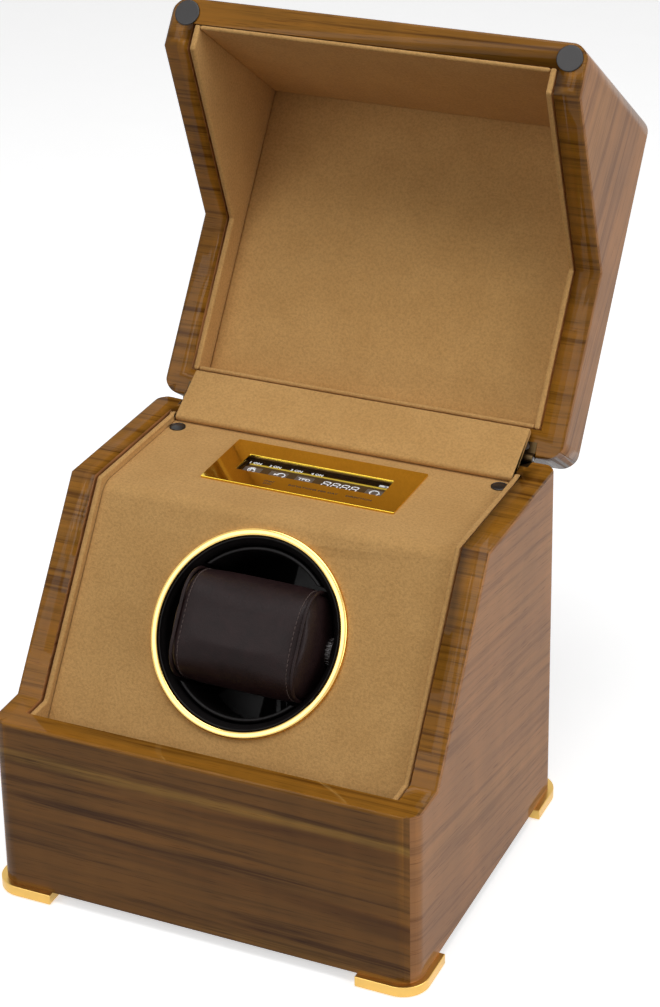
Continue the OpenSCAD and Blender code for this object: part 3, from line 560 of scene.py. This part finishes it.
def finish_small_parts():
    black = plain("gloss_black", GLOSS_BLACK, 0.3, depth=0.0, shine=0.12)
    rubber = plain("rubber", (0.010, 0.008, 0.008), 0.3)
    moulded = plain("black_moulding", (0.012, 0.012, 0.012), 0.4)
    steel = plain("steel", (0.55, 0.56, 0.58), 0.25, metallic=1.0, depth=0.0)
    nylon = plain("nylon", (0.70, 0.69, 0.64), 0.4)
    bronze = plain("bronze", (0.45, 0.25, 0.10), 0.35, metallic=1.0, depth=0.0)
    laminate = plain("board_laminate", (0.02, 0.12, 0.05), 0.35)
    board = plain("plain_board", (0.20, 0.13, 0.07), 0.6, grain=120.0)
    glass = plain("display_glass", (0.010, 0.007, 0.005), 0.03, coat=1.0, depth=0.0)
    groups = {
        moulded: ("battery_box", "battery_cover", "power_inlet", "display_module"),
        steel: ("housing_screws", "gear_bracket", "bracket_screws", "motor", "drum_shaft",
                "motor_pinion", "cover_screws", "foot_screws", "hinge_pins",
                "base_leaf_screws", "lid_leaf_screws", "flap_pin"),
        nylon: ("drum_gear", "board_posts"),
        bronze: ("drum_bush",),
        laminate: ("circuit_board",),
        board: ("floor_board", "fascia_battens"),
        glass: ("display_glass",),
        rubber: ("foot_pads",),
    }
    for material, nodes in groups.items():
        for node in nodes:
            paint(node, material)
    finish_piece(eased_copy("drum_housing"), "case", black, ["drum_housing"])
    finish_piece(eased_copy("drum_cup"), "drum", black, ["drum_cup"])
    finish_piece(eased_copy("fascia_plugs", 0.5 * MM), "case", rubber, ["fascia_plugs"])
    finish_piece(eased_copy("lid_bumpers", 0.5 * MM), "lid", rubber, ["lid_bumpers"])


# ---- Watch cushion ----

CUSHION_NODES = ("cushion_core", "cushion_cuff", "cushion_cap_left", "cushion_cap_right")
CUFF_HALF = 27.25 * MM
CUSHION_HALF_H = 22.75 * MM
CUSHION_BACK, CUSHION_FRONT = -31.7 * MM, 12.3 * MM
CUSHION_MIDDLE = (CUSHION_BACK + CUSHION_FRONT) / 2
CUSHION_ROUND = 14 * MM
BENCH = 20  # the cloth is worked at this many times its size
CUSHION_FILL = 0.98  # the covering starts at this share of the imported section
STUFFING_FRAMES = 20
MOST_SWELL = 1.2 * MM
KNOB_RIBS = 20


def cushion_outline(outset, steps=10):
    """Points round the cushion's section, as (up the slope, out of it)."""
    points = []
    reach = CUSHION_ROUND + outset
    for corner, (side, end) in enumerate(((1, 1), (-1, 1), (-1, -1), (1, -1))):
        middle_v = side * (CUSHION_HALF_H - CUSHION_ROUND)
        middle_t = CUSHION_FRONT - CUSHION_ROUND if end > 0 else CUSHION_BACK + CUSHION_ROUND
        for step in range(steps + 1):
            angle = math.pi / 2 * (corner + step / steps)
            points.append((middle_v + reach * math.cos(angle), middle_t + reach * math.sin(angle)))
    return points


def along(points, pitch):
    """Evenly spaced places on a closed outline, each with its direction."""
    places = []
    left = 0.0
    for first, second in zip(points, points[1:] + points[:1]):
        first, second = Vector(first), Vector(second)
        length = (second - first).length
        while left < length:
            places.append((first.lerp(second, left / length), (second - first).normalized()))
            left += pitch
        left -= length
    return places


def stuffed_cover():
    """The leather covering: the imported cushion's shape, drawn in at two seams and swollen between."""
    parts = []
    for node in CUSHION_NODES:
        part = bpy.data.objects.new(node + "_start", frame["nodes"][node].data.copy())
        bpy.context.scene.collection.objects.link(part)
        parts.append(part)
    cover = join(parts, "cushion_cover")
    to_bench = Matrix.Diagonal((1, CUSHION_FILL, CUSHION_FILL, 1))
    to_bench = to_bench @ Matrix.Translation((0, 0, -CUSHION_MIDDLE))
    to_bench = Matrix.Scale(BENCH, 4) @ to_bench @ ON_SLOPE.inverted()
    cover.data.transform(to_bench)
    remesh = cover.modifiers.new("even", "REMESH")
    remesh.mode = "VOXEL"
    remesh.voxel_size = 1.4 * MM * BENCH
    apply_all(cover)
    start = [vertex.co.copy() for vertex in cover.data.vertices]
    pins = cover.vertex_groups.new(name="seams")
    near = [i for i, co in enumerate(start) if abs(abs(co.x) - CUFF_HALF * BENCH) < 0.75 * MM * BENCH]
    pins.add(near, 1.0, "REPLACE")
    cloth = cover.modifiers.new("stuffing", "CLOTH")
    cloth.settings.quality = 6
    cloth.settings.mass = 0.3
    cloth.settings.tension_stiffness = 12
    cloth.settings.compression_stiffness = 12
    cloth.settings.shear_stiffness = 5
    cloth.settings.bending_stiffness = 0.4
    cloth.settings.use_pressure = True
    cloth.settings.uniform_pressure_force = 4
    cloth.settings.vertex_group_mass = "seams"
    cloth.settings.effector_weights.gravity = 0
    cloth.point_cache.frame_start = 1
    cloth.point_cache.frame_end = STUFFING_FRAMES
    for frame_number in range(1, STUFFING_FRAMES + 1):
        bpy.context.scene.frame_set(frame_number)
    apply_all(cover)
    bpy.context.scene.frame_set(1)
    for vertex, before in zip(cover.data.vertices, start):
        moved = vertex.co - before
        if moved.length > MOST_SWELL * BENCH:
            vertex.co = before + moved.normalized() * MOST_SWELL * BENCH
    for vertex in cover.data.vertices:
        gap = abs(abs(vertex.co.x) / BENCH - CUFF_HALF) / MM
        draw_in = 1 - 0.035 * math.exp(-(gap / 1.3) ** 2)
        vertex.co.y *= draw_in
        vertex.co.z *= draw_in
    cover.data.transform(Matrix.Translation((0, 0, CUSHION_MIDDLE)) @ Matrix.Scale(1 / BENCH, 4))
    finer = cover.modifiers.new("finer", "SUBSURF")
    finer.levels = 1
    apply_all(cover)
    pick(cover)
    bpy.ops.object.shade_smooth()
    return cover


def stitches(cover, x, pitch=2.3 * MM):
    """One line of stitches that lies on the cover beside a seam."""
    made = []
    for (v, t), direction in along(cushion_outline(3 * MM), pitch):
        found, spot, facing, _ = cover.closest_point_on_mesh(Vector((x, v, t)))
        if not found:
            continue
        step = Vector((0, direction.x, direction.y)) * pitch * 0.33
        lift = facing * 0.12 * MM
        sink = facing * -0.25 * MM
        points = (spot - step + sink, spot - step * 0.6 + lift,
                  spot + step * 0.6 + lift, spot + step + sink)
        made.append(tube(points, 0.22 * MM, "stitch", sides=1))
    return join(made, "stitch_line")


def knurled_knob():
    """The small knob at the cushion's right end."""
    clear()
    bpy.ops.mesh.primitive_cylinder_add(vertices=64, radius=5.2 * MM, depth=4.6 * MM)
    core = named("knob_core")
    bevel = core.modifiers.new("eased", "BEVEL")
    bevel.width = 0.7 * MM
    bevel.segments = 3
    bevel.limit_method = "ANGLE"
    apply_all(core)
    ribs = [core]
    for step in range(KNOB_RIBS):
        turn = math.tau * step / KNOB_RIBS
        rib = block((0.9 * MM, 0.9 * MM, 3.2 * MM), (0, 0, 0), "rib", 0.3 * MM)
        ribs.append(place_by(rib, Matrix.Rotation(turn, 4, "Z") @ Matrix.Translation((5.3 * MM, 0, 0))))
    knob = join(ribs, "cushion_knob")
    smooth(knob, 40)
    turned = Matrix.Translation((33.0 * MM, 0, CUSHION_MIDDLE)) @ Matrix.Rotation(math.pi / 2, 4, "Y")
    return place_by(knob, ON_SLOPE @ turned)


def finish_cushion():
    hide = leather("leather")
    cover = stuffed_cover()
    thread = plain("thread", (0.05, 0.03, 0.026), 0.7, grain=3000.0)
    trim = []
    for side in (-1, 1):
        outline = [(side * CUFF_HALF, v, t) for v, t in cushion_outline(-0.25 * MM, 12)]
        trim.append(tube(outline, 0.75 * MM, "piping", closed=True))
    sewn = [stitches(cover, side * (CUFF_HALF - 2.2 * MM)) for side in (-1, 1)]
    place_by(cover, ON_SLOPE)
    finish_piece(cover, "cushion", hide, CUSHION_NODES)
    piping = smooth(place_by(join(trim, "cushion_piping"), ON_SLOPE), 60)
    finish_piece(piping, "cushion", hide)
    seams = smooth(place_by(join(sewn, "cushion_stitches"), ON_SLOPE), 60)
    finish_piece(seams, "cushion", thread)
    finish_piece(knurled_knob(), "cushion", plain("knob", (0.016, 0.010, 0.009), 0.3))


# ---- Display and lettering ----

PLATE_Y = 38.55  # mm, the plate's middle
GLASS_TOP = 156.3
PLATE_TOP = 158.9
SIGN_ROW = -1.5  # the row of signs, from the plate's middle
LAMP_KEY, TURN_KEY, TPD_KEY, END_KEY = -28.6, -16.4, -4.2, 28.3  # the keys' middles
SIGN_THICK = 0.1


def lettering(text, x, y, height, top, name, width=0.0, bold=0.0):
    """Small capitals that lie level; width, if given, is the line's length in mm."""
    clear()
    bpy.ops.object.text_add()
    line = named(name)
    line.data.body = text
    line.data.align_x = "CENTER"
    line.data.align_y = "CENTER"
    line.data.size = 1.0
    line.data.extrude = 0.03
    line.data.offset = bold
    line.data.resolution_u = 2
    bpy.ops.object.convert(target="MESH")
    line = named(name)
    tall = height * MM / 0.72
    wide = width * MM / line.dimensions.x if width else tall
    return place_by(line, Matrix.Translation((x * MM, (PLATE_Y + y) * MM, top * MM))
                    @ Matrix.Diagonal((wide, tall, tall * 0.6, 1)))


def level_block(x0, x1, y0, y1, top, thick, name, eased=0.0):
    size = ((x1 - x0) * MM, (y1 - y0) * MM, thick * MM)
    place = ((x0 + x1) / 2 * MM, (PLATE_Y + (y0 + y1) / 2) * MM, top * MM)
    return block(size, place, name, eased * MM, 2)


def segment_digit(x, y, width, height, lean):
    """An 8 of seven bars, leaning a little."""
    bar = 0.55
    half_w, half_h = width / 2, height / 2
    bars = [level_block(x - half_w + bar, x + half_w - bar, y + at - bar / 2, y + at + bar / 2,
                        GLASS_TOP, SIGN_THICK, "bar", 0.04) for at in (-half_h, 0, half_h)]
    for side in (-1, 1):
        for end in (-1, 1):
            low, high = sorted((end * bar * 0.6, end * (half_h - bar * 0.2)))
            middle = x + side * (half_w - bar / 2)
            bars.append(level_block(middle - bar / 2, middle + bar / 2, y + low, y + high,
                                    GLASS_TOP, SIGN_THICK, "bar", 0.04))
    digit = join(bars, "digit")
    for vertex in digit.data.vertices:
        vertex.co.x += lean * (vertex.co.y - (PLATE_Y + y) * MM)
    return digit


def turning_sign(x, y, radius, start, sweep):
    """An arc with an arrow head at its end."""
    centre = Vector((x * MM, (PLATE_Y + y) * MM, GLASS_TOP * MM))
    points = []
    for step in range(25):
        angle = math.radians(start + sweep * step / 24)
        points.append(centre + Vector((math.cos(angle), math.sin(angle), 0)) * radius * MM)
    arc = tube(points, 0.24 * MM, "arc", sides=2)
    clear()
    bpy.ops.mesh.primitive_cylinder_add(vertices=3, radius=0.8 * MM, depth=SIGN_THICK * MM)
    head = named("arrow_head")
    end = math.radians(start + sweep + math.copysign(90, sweep) - 90)
    place_by(head, Matrix.Translation(points[-1]) @ Matrix.Rotation(end, 4, "Z"))
    return join([arc, head], "turning_sign")


def finish_display():
    figures = glowing("display_figures", DISPLAY_WHITE, 0.25)
    keys = plain("display_keys", KEY_GREY, 0.25)
    ink = plain("plate_ink", (0.012, 0.010, 0.008), 0.5)

    shown = [segment_digit(6.0 + 4.3 * place, SIGN_ROW, 3.4, 4.0, 0.16) for place in range(4)]
    for number, x in zip("1234", (-30, -20.6, -10.6, -0.9)):
        shown.append(lettering(f"{number} ON", x, 4.8, 1.7, GLASS_TOP, "cell_label", 5.4, 0.02))
    shown += [turning_sign(LAMP_KEY, SIGN_ROW, 1.9, 60, 250),
              turning_sign(LAMP_KEY, SIGN_ROW, 1.0, 240, -220),
              turning_sign(-15.0, SIGN_ROW, 1.7, -60, 240),
              turning_sign(END_KEY, -1.6, 2.0, 200, 160),
              turning_sign(END_KEY, -1.6, 2.0, 20, 160)]
    clear()
    bpy.ops.mesh.primitive_cylinder_add(vertices=3, radius=1.0 * MM, depth=SIGN_THICK * MM)
    play = named("play_sign")
    place_by(play, Matrix.Translation((-17.8 * MM, (PLATE_Y + SIGN_ROW) * MM, GLASS_TOP * MM))
             @ Matrix.Rotation(-math.pi / 2, 4, "Z"))
    shown.append(play)
    shown.append(lettering("TPD", TPD_KEY, SIGN_ROW, 2.0, GLASS_TOP, "turns_label", 5.6, 0.02))
    shown += [level_block(27.6, 31.4, 4.7, 4.95, GLASS_TOP, SIGN_THICK, "edge"),
              level_block(27.6, 31.4, 6.05, 6.3, GLASS_TOP, SIGN_THICK, "edge"),
              level_block(27.6, 27.85, 4.7, 6.3, GLASS_TOP, SIGN_THICK, "edge"),
              level_block(31.15, 31.4, 4.7, 6.3, GLASS_TOP, SIGN_THICK, "edge"),
              level_block(31.4, 32.0, 5.1, 5.9, GLASS_TOP, SIGN_THICK, "edge"),
              level_block(28.1, 30.0, 5.15, 5.85, GLASS_TOP, SIGN_THICK, "charge")]
    finish_piece(join(shown, "display_signs"), "case", figures)

    squares = [level_block(x - 4.1, x + 4.1, -6.0, 1.1, GLASS_TOP - 0.02, 0.08, "key", 0.03)
               for x in (LAMP_KEY, TURN_KEY, TPD_KEY, END_KEY)]
    finish_piece(join(squares, "display_key_squares"), "case", keys)

    words = [lettering("START", -15, -13.1, 1.25, PLATE_TOP, "word", 4.6, 0.02),
             lettering("STOP", -15, -15.3, 1.25, PLATE_TOP, "word", 3.8, 0.02),
             lettering("ROTATIONS PER DAY", 5.2, -13.0, 1.25, PLATE_TOP, "word", 22.8, 0.02),
             lettering("DIRECTION", 26, -12.8, 1.25, PLATE_TOP, "word", 11.7, 0.02)]
    finish_piece(join(words, "plate_words"), "case", ink)


# ---- Camera and studio ----

CAMERA_PLACE = (0.433293, -0.893489, 0.679088)
CAMERA_TURN = (24.494, 23.212, -0.974)  # azimuth, elevation and roll, in degrees
LENS_LENGTH = 96.958
LENS_SHIFT = -0.2
WORLD_LIGHT = 0.13
FLOOR_GLOW = 0.55
FLOOR_UNSEEN = (0.15, 0.13, 0.115)


def add_camera():
    bpy.ops.object.camera_add(location=CAMERA_PLACE)
    camera = bpy.context.object
    camera.name = "camera"
    azimuth, elevation, roll = (math.radians(a) for a in CAMERA_TURN)
    turn = Matrix.Rotation(azimuth, 4, "Z") @ Matrix.Rotation(math.pi / 2 - elevation, 4, "X")
    camera.rotation_euler = (turn @ Matrix.Rotation(roll, 4, "Z")).to_euler()
    camera.data.lens = LENS_LENGTH
    camera.data.shift_y = LENS_SHIFT
    camera.data.clip_start = 0.05
    bpy.context.scene.camera = camera


def softbox(name, place, target, width, height, power):
    bpy.ops.object.light_add(type="AREA", location=place)
    lamp = bpy.context.object
    lamp.name = name
    lamp.data.shape = "RECTANGLE"
    lamp.data.size = width
    lamp.data.size_y = height
    lamp.data.energy = power
    lamp.rotation_euler = (Vector(target) - Vector(place)).to_track_quat("-Z", "Y").to_euler()
    return lamp


def shown_rays(nodes, links):
    """1 for the rays that show the background: the camera's, and those that gloss and glass send on."""
    path = nodes.new("ShaderNodeLightPath")
    seen = path.outputs["Is Camera Ray"]
    for ray in ("Is Glossy Ray", "Is Transmission Ray"):
        either = nodes.new("ShaderNodeMath")
        either.operation = "MAXIMUM"
        links.new(seen, either.inputs[0])
        links.new(path.outputs[ray], either.inputs[1])
        seen = either.outputs[0]
    return seen


def white_world(strength):
    """White where it is seen, dimmer for everything it lights."""
    world = bpy.data.worlds.new("studio")
    bpy.context.scene.world = world
    world.use_nodes = True
    nodes, links = world.node_tree.nodes, world.node_tree.links
    dim = nodes["Background"]
    dim.inputs["Strength"].default_value = strength
    dim.inputs["Color"].default_value = (1, 1, 1, 1)
    white = nodes.new("ShaderNodeBackground")
    white.inputs["Color"].default_value = (1, 1, 1, 1)
    mix = nodes.new("ShaderNodeMixShader")
    links.new(shown_rays(nodes, links), mix.inputs[0])
    links.new(dim.outputs[0], mix.inputs[1])
    links.new(white.outputs[0], mix.inputs[2])
    links.new(mix.outputs[0], nodes["World Output"].inputs["Surface"])


def white_floor():
    """Pale paper where it is seen, darker for the light that it throws back on the object."""
    clear()
    bpy.ops.mesh.primitive_plane_add(size=6, location=(0, 0, 0))
    floor = named("floor")
    paper = Finish("floor_paper")
    speck = paper.noise(paper.place.outputs["Object"], 40, 2, 0.5)
    pale = paper.ramp(speck, (0.3, (0.93, 0.93, 0.93)), (0.7, (0.95, 0.95, 0.95)))
    seen = shown_rays(paper.tree.nodes, paper.tree.links)
    paper.link(paper.blend(seen, FLOOR_UNSEEN, pale), paper.shader.inputs["Base Color"])
    paper.shader.inputs["Emission Color"].default_value = (1, 1, 1, 1)
    paper.link(paper.math("MULTIPLY", seen, FLOOR_GLOW), paper.shader.inputs["Emission Strength"])
    paper.set(Roughness=0.9, Specular_IOR_Level=0.1)
    floor.data.materials.append(paper.material)


def add_studio():
    bpy.context.scene.view_settings.view_transform = "Standard"
    white_world(WORLD_LIGHT)
    white_floor()
    softbox("overhead", (0.05, -0.15, 1.5), (0, 0, 0.2), 1.1, 0.9, 10)
    softbox("right_wall", (1.6, -0.1, 0.75), (0, 0.05, 0.2), 1.2, 1.2, 14)
    softbox("front_left", (-0.54, -1.32, 1.05), (0, 0, 0.13), 1.1, 0.95, 7)


add_camera()
add_studio()
finish_wood()
finish_boards()
finish_metal()
finish_small_parts()
finish_cushion()
finish_display()

clear()
